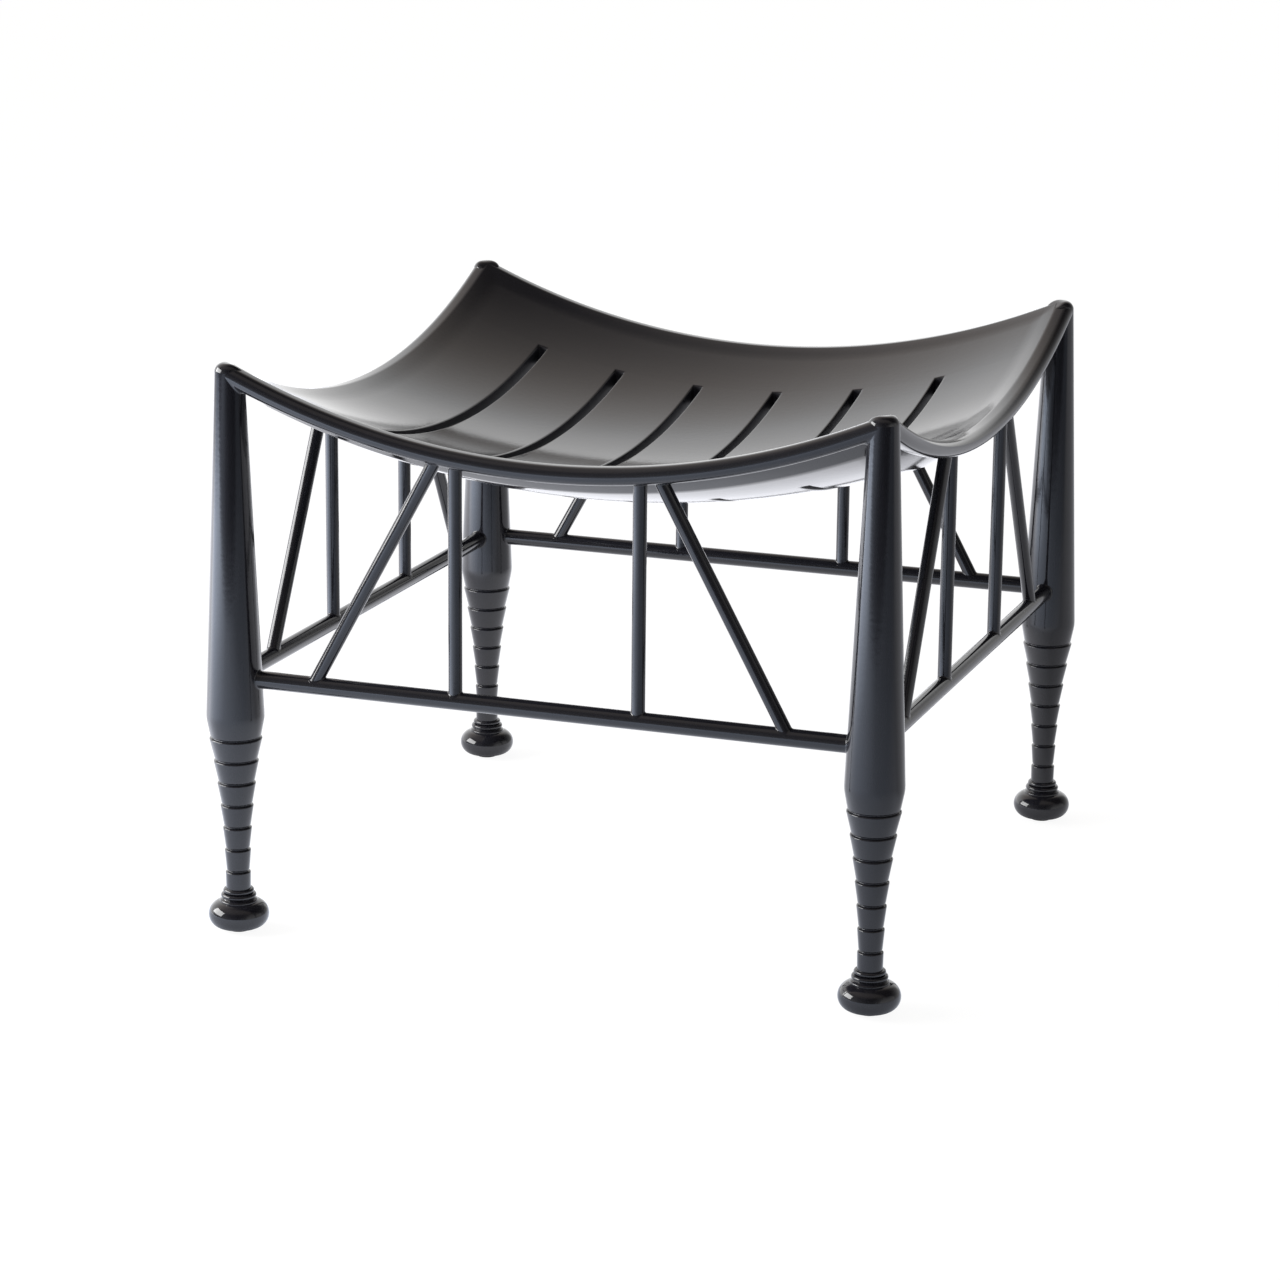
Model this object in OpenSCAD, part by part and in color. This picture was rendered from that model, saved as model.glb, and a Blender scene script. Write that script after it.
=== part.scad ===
// Dished slat-slotted stool on four turned legs, braced with round spindles.
// Z is up, the floor is at zero and the origin is the middle of the four legs.
// The front of the stool faces -Y. The plan is square, so each side is the front side turned.

/* [Stance] */
// Distance between the leg centres, the same both ways
leg_spacing = 410; // [380:1:440]
// Height of the leg tops above the floor
leg_height = 359; // [345:1:375]

/* [Seat] */
// Radius of the hollow of the seat
seat_radius = 533; // [500:1:580]
// Thickness of the seat panel
seat_thickness = 12; // [9:0.5:13]
// Width of the bevel that thins the panel's lower edge to the rails' flat inner faces
edge_bevel = 14; // [8:0.5:20]
// How far the middle of a leg top stands above the crown of the rails there
crown_rise = 0.2; // [0:0.05:0.6]
// Number of slots in the seat
slot_count = 6; // [2:1:7]
// Distance from one slot to the next
slot_pitch = 56; // [40:1:57]
// Width of a slot
slot_width = 6; // [4:0.5:9]
// Length of a slot
slot_length = 294; // [200:1:320]

/* [Rim rails] */
// Diameter of the round outer side of a rail
rail_diameter = 11; // [10:0.5:12]
// Distance of a rail's flat inner face from the line between the leg centres
rail_flat_in = 3; // [2.8:0.1:4]
// How far the crown of a rail stands above the seat surface carried out to it
rail_proud = 0.3; // [0.1:0.1:1]
// Diameter of the tenon on a rail's end
rail_tenon_diameter = 5; // [4:0.25:5.5]
// Depth of that tenon in the leg
rail_tenon_depth = 5.2; // [4:0.1:5.5]

/* [Leg body] */
// Radius of a leg just under its rounded top
leg_top_radius = 9.1; // [8.5:0.1:10]
// Radius of the rounding round a leg's top
leg_top_round = 5.6; // [4:0.1:6.5]
// Radius of a leg at its thickest
leg_body_radius = 18; // [16:0.25:20]
// Height of the thickest place above the floor
leg_body_height = 138; // [134:0.5:142]

/* [Turned rings] */
// Number of lips turned on the lower leg
lip_count = 7; // [5:1:7]
// Height of the highest lip above the floor
lip_top_height = 124.6; // [123:0.1:126]
// Distance from one lip to the next
lip_pitch = 14.45; // [13.5:0.05:14.8]
// Radius of the highest lip
lip_first_radius = 16.45; // [15:0.05:17]
// Radius of the lowest lip
lip_last_radius = 7.85; // [7.5:0.05:9]
// How quickly the lips draw in from the highest one down
lip_draw = 1.8; // [1.4:0.05:2.2]
// How far a lip stands out past the edge above it
lip_step = 0.7; // [0.4:0.05:1]
// Height of the groove over a lip
groove_height = 1.6; // [1:0.1:2.2]
// Depth of the groove behind the edge above it
groove_depth = 0.9; // [0.5:0.1:1.4]
// Radius of the ankle between the lowest lip and the two rings
ankle_radius = 7.7; // [7:0.05:8]
// Radius of the upper ring over the foot
upper_ring_radius = 9.65; // [9:0.05:10]
// Height of the middle of the upper ring above the floor
upper_ring_height = 25.6; // [25.2:0.1:26]
// Radius of the lower ring over the foot
lower_ring_radius = 11.05; // [10.5:0.05:12]
// Height of the middle of the lower ring above the floor
lower_ring_height = 22.5; // [22.2:0.1:22.8]
// Radius of the edge of both rings
ring_edge = 1.5; // [1.3:0.1:1.6]
// Radius of the low collar round the top of the foot
collar_radius = 11.8; // [11:0.1:12.5]
// Height of the middle of the collar above the floor
collar_height = 19; // [18.6:0.1:19.4]
// Radius of the edge of the collar
collar_edge = 1.1; // [0.9:0.1:1.2]

/* [Bun foot] */
// Radius of a bun foot at its widest
foot_radius = 18.9; // [17.5:0.1:20]
// Height of a bun foot from its flat base to its top
foot_height = 16.8; // [16.4:0.1:17.2]

/* [Glides] */
// How far a glide keeps the bun foot off the floor
glide_proud = 2; // [1.8:0.1:2.4]
// Thickness of a glide
glide_thickness = 3.4; // [3:0.1:4]
// Radius of a glide
glide_radius = 7; // [5:0.25:7.5]
// Radius of the shank of a glide's nail
nail_radius = 1.1; // [0.9:0.05:1.3]
// Height of the nail's tip above the floor
nail_tip_height = 16; // [12:0.5:18]
// Radius of the nail's head
nail_head_radius = 3.2; // [2.5:0.1:3.8]
// Thickness of the nail's head
nail_head_thickness = 1; // [0.8:0.1:1.2]
// How far the nail's head lies above the floor
nail_head_recess = 0.7; // [0.4:0.1:0.8]

/* [Stretchers] */
// Diameter of a stretcher
stretcher_diameter = 11; // [10:0.5:12]
// Height of a stretcher's centre line above the floor
stretcher_height = 163; // [158:1:170]
// Diameter of the tenon on a stretcher's end
stretcher_tenon_diameter = 7.5; // [6:0.25:8.5]
// Depth of that tenon in the leg
stretcher_tenon_depth = 11; // [8:0.25:11.5]

/* [Spindles] */
// Diameter of a spindle
spindle_diameter = 8.5; // [7:0.25:9.5]
// Diameter of the tenons on a spindle's ends
spindle_tenon_diameter = 5; // [4:0.25:5.25]
// Distance of an upright spindle from the middle of its side
upright_offset = 58.4; // [50:0.1:60]
// Distance of a brace's foot from the middle of its side, on the stretcher's centre line
brace_foot_offset = 152; // [140:1:160]
// Distance of a brace's head from the middle of its side, on the rail's centre line
brace_head_offset = 69; // [68:0.5:76]

/* [Seat dowels] */
// Diameter of a dowel between a rail and the seat
dowel_diameter = 4; // [3:0.25:4.5]
// Length of a dowel inside the rail
dowel_in_rail = 4; // [3:0.25:4.5]
// Length of a dowel inside the seat
dowel_in_seat = 12; // [8:0.5:14]
// Angle along the rim from the middle dowel to the next
dowel_angle = 14; // [10:0.5:16]

/* [Fits] */
// Clearance all round a tenon, dowel or nail in its hole
fit_clearance = 0.05; // [0.02:0.01:0.1]
// Space left past the tip of a tenon, dowel or nail
tip_gap = 0.3; // [0.2:0.05:0.5]

/* [Hidden] */

lacquer = [0.16, 0.17, 0.19];
beech = [0.78, 0.62, 0.42];
nylon = [0.10, 0.10, 0.11];
steel = [0.70, 0.71, 0.73];

half = leg_spacing / 2;

// A rail runs round a level axis through the centre of the seat's sphere, which hangs over the
// middle of the stool. These are the radii to the rail's crown and to the middle of the rail.
crown_radius = sqrt(pow(seat_radius, 2) - pow(half, 2)) - rail_proud;
rail_radius = crown_radius + rail_diameter / 2;
dish_centre = leg_height - crown_rise + sqrt(pow(crown_radius, 2) - pow(half, 2));
panel_edge = half - rail_flat_in;
under_seat = dish_centre - seat_radius - 2 * seat_thickness;
// Angle from the middle of a rail to the centre of the leg
rail_reach = asin(half / rail_radius);

function rail_centre_height(x) = dish_centre - sqrt(pow(rail_radius, 2) - pow(x, 2));
function leg_radius_at(z) = leg_body_radius
    - (leg_body_radius - leg_top_radius) * (z - leg_body_height) / (leg_shoulder - leg_body_height);

leg_shoulder = leg_height - leg_top_round;
rail_tenon_height = rail_centre_height(half - leg_top_radius);

foot_round = foot_height / 2;
foot_centre_height = glide_proud + foot_round;

function lip_height(i) = lip_top_height - i * lip_pitch;
function lip_radius(i) = lip_last_radius
    + (lip_first_radius - lip_last_radius) * pow((lip_count - 1 - i) / (lip_count - 1), lip_draw);
function edge_radius(i) = lip_radius(i) - lip_step;

// One groove and the lip under it, from the edge above down to the lip
function groove_points(i) = [
    [edge_radius(i), lip_height(i) + groove_height],
    [edge_radius(i) - groove_depth, lip_height(i) + groove_height * 2 / 3],
    [edge_radius(i) - groove_depth, lip_height(i) + groove_height / 3],
    [lip_radius(i), lip_height(i)]
];

upper_points = [
    [0, leg_body_height],
    [leg_body_radius, leg_body_height],
    [leg_top_radius, leg_shoulder],
    [0, leg_shoulder]
];
lower_points = concat(
    [[0, leg_body_height], [leg_body_radius, leg_body_height]],
    [for (i = [0 : lip_count - 1]) for (p = groove_points(i)) p],
    [[ankle_radius, upper_ring_height], [ankle_radius, foot_centre_height], [0, foot_centre_height]]
);

// How far a cut starts outside the face it opens in
cut_past = 1;

// Smoothness of the small turned parts, of the legs' rounding and of the large arcs
small_fn = 48;
turn_fn = 96;
dish_fn = 360;

module on_side(k) {
    rotate([0, 0, 90 * k]) children();
}

module at_corner(k) {
    on_side(k) translate([half, -half, 0]) children();
}

// A round bar between two points in the plane of the front side
module front_bar(from, to, diameter) {
    run = to[0] - from[0];
    rise = to[1] - from[1];
    translate([from[0], -half, from[1]])
        rotate([0, atan2(run, rise), 0])
            cylinder(h = norm([run, rise]), d = diameter, $fn = small_fn);
}

// Legs

// A disc with a full round edge, centred on a height
module turned_disc(radius, height, edge) {
    translate([0, 0, height - edge]) cylinder(h = 2 * edge, r = radius - edge, $fn = turn_fn);
    rotate_extrude($fn = turn_fn)
        intersection() {
            translate([radius - edge, height]) circle(r = edge, $fn = turn_fn);
            translate([0, height - edge]) square([radius, 2 * edge]);
        }
}

// The upper part of a leg, which the rails, the seat and the stretchers are fitted to
module leg_upper_solid() {
    rotate_extrude($fn = turn_fn) polygon(upper_points);
    turned_disc(leg_top_radius, leg_shoulder, leg_top_round);
}

module leg_solid() {
    leg_upper_solid();
    rotate_extrude($fn = turn_fn) polygon(lower_points);
    turned_disc(upper_ring_radius, upper_ring_height, ring_edge);
    turned_disc(lower_ring_radius, lower_ring_height, ring_edge);
    turned_disc(collar_radius, collar_height, collar_edge);
    turned_disc(foot_radius, foot_centre_height, foot_round);
}

// The two holes of a kind in the leg at corner 0, facing the front side and the right side
module two_sockets(height, radius_there, depth, diameter) {
    inner = radius_there - depth - tip_gap;
    for (turn = [0, 90])
        rotate([0, 0, -turn])
            translate([-inner, 0, height])
                rotate([0, -90, 0])
                    cylinder(h = radius_there, d = diameter + 2 * fit_clearance, $fn = small_fn);
}

// A leg's inner top is cut flush with the hollow of the seat
module leg() {
    color(lacquer)
        difference() {
            leg_solid();
            translate([-half, half, dish_centre]) sphere(r = seat_radius, $fn = dish_fn);
            two_sockets(rail_tenon_height, leg_top_radius, rail_tenon_depth, rail_tenon_diameter);
            two_sockets(stretcher_height, leg_radius_at(stretcher_height),
                stretcher_tenon_depth, stretcher_tenon_diameter);
            translate([0, 0, -cut_past])
                cylinder(h = glide_thickness + cut_past, r = glide_radius + 2 * fit_clearance,
                    $fn = small_fn);
            cylinder(h = nail_tip_height + tip_gap, r = nail_radius + fit_clearance, $fn = small_fn);
        }
}

// Rim rails

module rail_section() {
    difference() {
        circle(d = rail_diameter, $fn = small_fn);
        translate([-rail_diameter, -rail_flat_in - rail_diameter])
            square([2 * rail_diameter, rail_diameter]);
    }
}

// The plain rail between the leg centres, before its ends and holes are cut
module rail_solid() {
    translate([0, -half, dish_centre])
        rotate([90, 0, 0])
            rotate([0, 0, -90 - rail_reach])
                rotate_extrude(angle = 2 * rail_reach, $fn = dish_fn)
                    translate([rail_radius, 0]) rail_section();
}

module rail_tenons() {
    reach = half - leg_top_radius + rail_tenon_depth;
    start = reach - rail_tenon_depth - rail_tenon_diameter;
    for (side = [-1, 1])
        translate([side * start, -half, rail_tenon_height])
            rotate([0, 90 * side, 0])
                cylinder(h = reach - start, d = rail_tenon_diameter, $fn = small_fn);
}

module seat_dowel_row(extra, gap) {
    slope = asin(panel_edge / (seat_radius + seat_thickness / 2));
    for (turn = [-dowel_angle, 0, dowel_angle])
        translate([0, 0, dish_centre])
            rotate([0, turn, 0])
                translate([0, -panel_edge, -rail_radius])
                    rotate([-90 - slope, 0, 0])
                        translate([0, 0, -dowel_in_rail - gap])
                            cylinder(h = dowel_in_rail + dowel_in_seat + 2 * gap,
                                d = dowel_diameter + 2 * extra, $fn = small_fn);
}

module rim_rail() {
    color(lacquer)
        difference() {
            union() {
                difference() {
                    rail_solid();
                    for (side = [-1, 1]) translate([side * half, -half, 0]) leg_upper_solid();
                }
                rail_tenons();
            }
            seat_dowel_row(fit_clearance, tip_gap);
            for (side = [-1, 1]) spindle_sockets(side);
        }
}

// Seat

// What the bevel takes off the panel's lower edge along the front side
module front_bevel() {
    inner = panel_edge - edge_bevel;
    full = sqrt(pow(seat_radius + seat_thickness, 2) - pow(inner, 2));
    flat_bottom = rail_radius + sqrt(pow(rail_diameter / 2, 2) - pow(rail_flat_in, 2));
    fall = (full - flat_bottom) / edge_bevel * cut_past;
    translate([0, 0, dish_centre])
        rotate([90, 0, 0])
            rotate([0, 0, -90 - rail_reach])
                rotate_extrude(angle = 2 * rail_reach, $fn = dish_fn)
                    polygon([
                        [full + fall, inner - cut_past],
                        [full + seat_thickness, inner - cut_past],
                        [full + seat_thickness, panel_edge + cut_past],
                        [flat_bottom - fall, panel_edge + cut_past]
                    ]);
}

// The hollow panel between the rails, before its corners, slots and dowel holes are cut
module seat_solid() {
    difference() {
        intersection() {
            translate([0, 0, dish_centre])
                difference() {
                    sphere(r = seat_radius + seat_thickness, $fn = dish_fn);
                    sphere(r = seat_radius, $fn = dish_fn);
                }
            translate([-panel_edge, -panel_edge, under_seat])
                cube([2 * panel_edge, 2 * panel_edge, leg_height - under_seat]);
        }
        for (k = [0 : 3]) on_side(k) front_bevel();
    }
}

module seat_panel() {
    color(lacquer)
        difference() {
            seat_solid();
            for (i = [0 : slot_count - 1])
                translate([
                    (i - (slot_count - 1) / 2) * slot_pitch - slot_width / 2,
                    -slot_length / 2,
                    under_seat
                ])
                    cube([slot_width, slot_length, leg_height - under_seat]);
            for (k = [0 : 3]) {
                at_corner(k) leg_upper_solid();
                on_side(k) seat_dowel_row(fit_clearance, tip_gap);
            }
        }
}

module seat_dowels() {
    color(beech)
        for (k = [0 : 3]) on_side(k) seat_dowel_row(0, 0);
}

// Stretchers

module stretcher_solid() {
    front_bar_level(-half, half, stretcher_diameter);
}

module front_bar_level(from_x, to_x, diameter) {
    front_bar([from_x, stretcher_height], [to_x, stretcher_height], diameter);
}

module stretcher() {
    reach = half - leg_radius_at(stretcher_height) + stretcher_tenon_depth;
    color(lacquer)
        difference() {
            union() {
                difference() {
                    stretcher_solid();
                    for (side = [-1, 1]) translate([side * half, -half, 0]) leg_upper_solid();
                }
                front_bar_level(-reach, reach, stretcher_tenon_diameter);
            }
            for (side = [-1, 1]) spindle_sockets(side);
        }
}

// Spindles. side is -1 for the left one and 1 for the right one, seen from outside.

module upright_bar(side, diameter, past) {
    front_bar([side * upright_offset, stretcher_height - past],
        [side * upright_offset, rail_centre_height(upright_offset) + past], diameter);
}

module brace_bar(side, diameter, past) {
    foot = [side * brace_foot_offset, stretcher_height];
    head = [side * brace_head_offset, rail_centre_height(brace_head_offset)];
    along = (head - foot) / norm(head - foot);
    front_bar(foot - past * along, head + past * along, diameter);
}

module spindle_sockets(side) {
    bore = spindle_tenon_diameter + 2 * fit_clearance;
    upright_bar(side, bore, tip_gap);
    brace_bar(side, bore, tip_gap);
}

module upright(side) {
    color(lacquer) {
        difference() {
            upright_bar(side, spindle_diameter, 0);
            rail_solid();
            seat_solid();
            stretcher_solid();
        }
        upright_bar(side, spindle_tenon_diameter, 0);
    }
}

module brace(side) {
    color(lacquer) {
        difference() {
            brace_bar(side, spindle_diameter, 0);
            rail_solid();
            seat_solid();
            stretcher_solid();
        }
        brace_bar(side, spindle_tenon_diameter, 0);
    }
}

// Glides

module foot_glides() {
    color(nylon)
        for (k = [0 : 3])
            at_corner(k)
                difference() {
                    cylinder(h = glide_thickness, r = glide_radius, $fn = small_fn);
                    translate([0, 0, -cut_past])
                        cylinder(h = nail_head_recess + nail_head_thickness + cut_past,
                            r = nail_head_radius + 2 * fit_clearance, $fn = small_fn);
                    cylinder(h = glide_thickness + cut_past, r = nail_radius + fit_clearance,
                        $fn = small_fn);
                }
}

module glide_nails() {
    color(steel)
        for (k = [0 : 3])
            at_corner(k) {
                translate([0, 0, nail_head_recess])
                    cylinder(h = nail_head_thickness, r = nail_head_radius, $fn = small_fn);
                translate([0, 0, nail_head_recess])
                    cylinder(h = nail_tip_height - nail_head_recess, r = nail_radius, $fn = small_fn);
            }
}

seat_panel();
on_side(0) rim_rail();  // rim_rail_front
on_side(1) rim_rail();  // rim_rail_right
on_side(2) rim_rail();  // rim_rail_back
on_side(3) rim_rail();  // rim_rail_left
at_corner(0) leg();  // leg_front_right
at_corner(1) leg();  // leg_back_right
at_corner(2) leg();  // leg_back_left
at_corner(3) leg();  // leg_front_left
on_side(0) stretcher();  // stretcher_front
on_side(1) stretcher();  // stretcher_right
on_side(2) stretcher();  // stretcher_back
on_side(3) stretcher();  // stretcher_left
on_side(0) upright(-1);  // upright_front_left
on_side(0) upright(1);  // upright_front_right
on_side(1) upright(-1);  // upright_right_front
on_side(1) upright(1);  // upright_right_back
on_side(2) upright(-1);  // upright_back_right
on_side(2) upright(1);  // upright_back_left
on_side(3) upright(-1);  // upright_left_back
on_side(3) upright(1);  // upright_left_front
on_side(0) brace(-1);  // brace_front_left
on_side(0) brace(1);  // brace_front_right
on_side(1) brace(-1);  // brace_right_front
on_side(1) brace(1);  // brace_right_back
on_side(2) brace(-1);  // brace_back_right
on_side(2) brace(1);  // brace_back_left
on_side(3) brace(-1);  // brace_left_back
on_side(3) brace(1);  // brace_left_front
seat_dowels();
foot_glides();
glide_nails();
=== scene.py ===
"""Finished looks of the dished stool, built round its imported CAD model."""
import math

import bmesh
import bpy
from bpy.props import FloatProperty, FloatVectorProperty, IntProperty, PointerProperty
from mathutils import Matrix, Vector
from mathutils.bvhtree import BVHTree


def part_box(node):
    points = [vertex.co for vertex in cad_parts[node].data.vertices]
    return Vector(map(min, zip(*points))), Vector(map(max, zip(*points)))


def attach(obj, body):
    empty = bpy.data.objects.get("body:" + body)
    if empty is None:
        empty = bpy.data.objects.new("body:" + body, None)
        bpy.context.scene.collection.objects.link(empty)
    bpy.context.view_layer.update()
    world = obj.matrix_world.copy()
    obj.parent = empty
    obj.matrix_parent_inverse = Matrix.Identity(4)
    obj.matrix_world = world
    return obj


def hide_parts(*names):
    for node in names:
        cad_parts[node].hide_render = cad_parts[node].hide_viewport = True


bl_info = {
    "name": "Dished Stool",
    "version": (1, 0, 0),
    "blender": (4, 5, 0),
    "location": "3D View > Sidebar > Stool",
    "description": "Builds the lacquered looks of a dished stool round its packed model",
    "category": "Object",
}

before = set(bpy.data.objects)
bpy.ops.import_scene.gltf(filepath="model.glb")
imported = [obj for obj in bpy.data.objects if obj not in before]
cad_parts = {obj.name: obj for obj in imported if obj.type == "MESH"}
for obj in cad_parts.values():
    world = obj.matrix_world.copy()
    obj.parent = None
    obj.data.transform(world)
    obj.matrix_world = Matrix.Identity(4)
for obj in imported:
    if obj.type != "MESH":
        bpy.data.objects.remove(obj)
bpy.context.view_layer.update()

MM = 0.001
CORNERS = ("front_right", "back_right", "back_left", "front_left")
SIDES = ("front", "right", "back", "left")

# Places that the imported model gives
leg_low, leg_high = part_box("leg_front_right")
rail_low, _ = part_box("rim_rail_front")
seat_low, seat_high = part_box("seat_panel")
stretcher_low, stretcher_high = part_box("stretcher_front")
upright_low, upright_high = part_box("upright_front_right")
HALF = (leg_low.x + leg_high.x) / 2
LEG_TOP = leg_high.z
FOOT_BASE = leg_low.z
FOOT_RADIUS = (leg_high.x - leg_low.x) / 2
RAIL_RADIUS = -HALF - rail_low.y
STRETCHER_RADIUS = (stretcher_high.z - stretcher_low.z) / 2
STRETCHER_HEIGHT = (stretcher_high.z + stretcher_low.z) / 2
SPINDLE_RADIUS = (upright_high.x - upright_low.x) / 2
UPRIGHT_OFFSET = (upright_high.x + upright_low.x) / 2
PANEL_EDGE = seat_high.x

# How finely the bars are made, and how sharp an edge has to be to be shaded as one
STRETCHER_SEGMENTS = 32
SPINDLE_SEGMENTS = 28
SHARP_EDGE = math.radians(38)
# How squarely a surface has to face the end of a bar for a full fillet there
FULL_FILLET = 0.6
# How far a bar's end goes into what it meets
SINK = 0.15 * MM


def length(name, description, default):
    return FloatProperty(name=name, description=description, default=default,
                         unit="LENGTH", precision=4)


def colour(name, description, default):
    return FloatVectorProperty(name=name, description=description, default=default,
                               subtype="COLOR", size=3, min=0, max=1)


def share(name, description, default):
    return FloatProperty(name=name, description=description, default=default,
                         min=0, max=1, subtype="FACTOR")


class StoolLegSizes(bpy.types.PropertyGroup):
    """Sizes of the turned legs"""
    body_radius: length("Body radius", "Radius of a leg at its thickest", 18 * MM)
    body_height: length("Body height", "Height of the thickest place", 138 * MM)
    top_radius: length("Top radius", "Radius just under the rounded top", 9.1 * MM)
    top_round: length("Top rounding", "Radius of the rounding round the top", 5.6 * MM)
    lip_count: IntProperty(name="Lips", description="Number of lips on the lower leg",
                           default=7, min=5, max=7)
    lip_top: length("Highest lip", "Height of the highest lip", 124.6 * MM)
    lip_pitch: length("Lip pitch", "Distance from one lip to the next", 14.45 * MM)
    lip_first: length("First lip radius", "Radius of the highest lip", 16.45 * MM)
    lip_last: length("Last lip radius", "Radius of the lowest lip", 7.85 * MM)
    lip_draw: FloatProperty(name="Draw", description="How quickly the lips draw in",
                            default=1.8, min=1.4, max=2.2)
    lip_step: length("Lip step", "How far a lip stands out past the edge above it", 0.7 * MM)
    groove_height: length("Groove height", "Height of the groove over a lip", 1.6 * MM)
    groove_depth: length("Groove depth", "Depth of the groove over a lip", 0.9 * MM)
    ankle_radius: length("Ankle radius", "Radius of the ankle over the rings", 7.7 * MM)
    upper_ring_radius: length("Upper ring radius", "Radius of the upper ring", 9.65 * MM)
    upper_ring_height: length("Upper ring height", "Height of the upper ring", 25.6 * MM)
    lower_ring_radius: length("Lower ring radius", "Radius of the lower ring", 11.05 * MM)
    lower_ring_height: length("Lower ring height", "Height of the lower ring", 22.5 * MM)
    ring_edge: length("Ring edge", "Radius of the edge of both rings", 1.5 * MM)
    collar_radius: length("Collar radius", "Radius of the collar on the foot", 11.8 * MM)
    collar_height: length("Collar height", "Height of the middle of the collar", 19 * MM)
    collar_edge: length("Collar edge", "Radius of the edge of the collar", 1.1 * MM)
    foot_round: length("Foot rounding", "Radius of the bun foot's round side", 8.4 * MM)
    glide_radius: length("Glide recess", "Radius of the recess for the glide", 7.1 * MM)
    glide_depth: length("Recess height", "Height of the recess's top", 3.4 * MM)


class StoolSeatSizes(bpy.types.PropertyGroup):
    """Sizes of the hollow seat"""
    radius: length("Hollow radius", "Radius of the hollow of the seat", 533 * MM)
    thickness: length("Thickness", "Thickness of the seat panel", 12 * MM)
    slot_count: IntProperty(name="Slots", description="Number of slots", default=6, min=2, max=7)
    slot_pitch: length("Slot pitch", "Distance from one slot to the next", 56 * MM)
    slot_width: length("Slot width", "Width of a slot", 6 * MM)
    slot_length: length("Slot length", "Length of a slot", 294 * MM)
    slot_edge: length("Slot edge", "Rounding of the slots' edges", 0.9 * MM)
    edge_bevel: length("Edge bevel", "Width of the bevel along the panel's lower edge", 14 * MM)
    lower_edge: length("Lower edge", "Rounding of the panel's lower edge", 0.8 * MM)


class StoolBarSizes(bpy.types.PropertyGroup):
    """Sizes of the rails, stretchers and spindles"""
    rail_flat: length("Rail flat", "Distance of a rail's flat inner face from its middle", 3 * MM)
    brace_foot: length("Brace foot", "Distance of a brace's foot from the side's middle", 152 * MM)
    brace_head: length("Brace head", "Distance of a brace's head from the side's middle", 69 * MM)
    fillet: length("Fillet", "Radius of the lacquered fillet at a bar's end", 0.9 * MM)
    rail_out: length("Rail reach", "How far a rail's round side lies outside the legs' middles",
                     3.6 * MM)
    rail_fillet: length("Rail fillet", "Radius of the fillet between a rail and a leg", 3.2 * MM)


class StoolFinish(bpy.types.PropertyGroup):
    """Colours and gloss of the finishes"""
    lacquer: colour("Lacquer", "Colour of the near-black lacquer", (0.0105, 0.0105, 0.0145))
    lacquer_pale: colour("Lacquer, worn", "Lacquer where the grain lies", (0.0135, 0.0135, 0.018))
    gloss: share("Lacquer roughness", "Roughness of the lacquer at its glossiest", 0.07)
    dull: share("Lacquer dullness", "Roughness of the lacquer at its dullest", 0.12)
    cut: share("Cut roughness", "Roughness of the lacquer inside the seat's slots", 0.5)
    beech: colour("Beech", "Colour of the dowels", (0.55, 0.36, 0.2))
    nylon: colour("Nylon", "Colour of the glides", (0.012, 0.012, 0.013))
    steel: colour("Steel", "Colour of the nails", (0.56, 0.57, 0.58))


class StoolStudio(bpy.types.PropertyGroup):
    """The light and the camera"""
    lens: FloatProperty(name="Lens", description="Focal length in millimetres on a 36 mm sensor",
                        default=109.0, min=20, max=200)
    lamp: FloatProperty(name="Lamp", description="Brightness of the softbox's face",
                        default=11.0, min=0, max=40)
    wall: FloatProperty(name="Wall", description="Brightness of the pale wall behind",
                        default=1.3, min=0, max=4)
    floor: colour("Floor", "Colour of the floor", (0.86, 0.86, 0.86))


class StoolSettings(bpy.types.PropertyGroup):
    """Everything that a user may change about the stool's looks"""
    leg: PointerProperty(type=StoolLegSizes)
    seat: PointerProperty(type=StoolSeatSizes)
    bar: PointerProperty(type=StoolBarSizes)
    finish: PointerProperty(type=StoolFinish)
    studio: PointerProperty(type=StoolStudio)


# Shapes

def settings():
    return bpy.context.scene.stool


def dish_centre():
    """Height of the centre of the seat's sphere"""
    seat = settings().seat
    return seat_low.z + seat.radius + seat.thickness


def rail_arc():
    """Radius of the middle line of a rail round the level axis through that centre"""
    return dish_centre() - rail_low.z - RAIL_RADIUS


def arc(r, z, radius, start, end, step=12):
    """Points of an arc in the plane of a leg's outline, from one angle to another in degrees"""
    count = max(2, round(abs(end - start) / step))
    turns = (math.radians(start + (end - start) * i / count) for i in range(count + 1))
    return [(r + radius * math.cos(a), z + radius * math.sin(a)) for a in turns]


def rounded(corners, step=12):
    """An outline through corners (r, z, rounding), each rounded by an arc that its sides touch"""
    points = []
    for i, (r, z, radius) in enumerate(corners):
        here = Vector((r, z))
        if not radius or i in (0, len(corners) - 1):
            points.append(here)
            continue
        before = Vector(corners[i - 1][:2]) - here
        after = Vector(corners[i + 1][:2]) - here
        turn = math.pi - before.angle(after)
        reach = min(radius * math.tan(turn / 2), before.length * 0.49, after.length * 0.49)
        radius = reach / math.tan(turn / 2)
        start = here + before.normalized() * reach
        middle = here + (before.normalized() + after.normalized()).normalized() \
            * math.hypot(reach, radius)
        count = max(2, round(math.degrees(turn) / step))
        side = 1 if before.x * after.y - before.y * after.x < 0 else -1
        for k in range(count + 1):
            arm = start - middle
            arm.rotate(Matrix.Rotation(side * turn * k / count, 2))
            points.append(middle + arm)
    return [tuple(p) for p in points]


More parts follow.
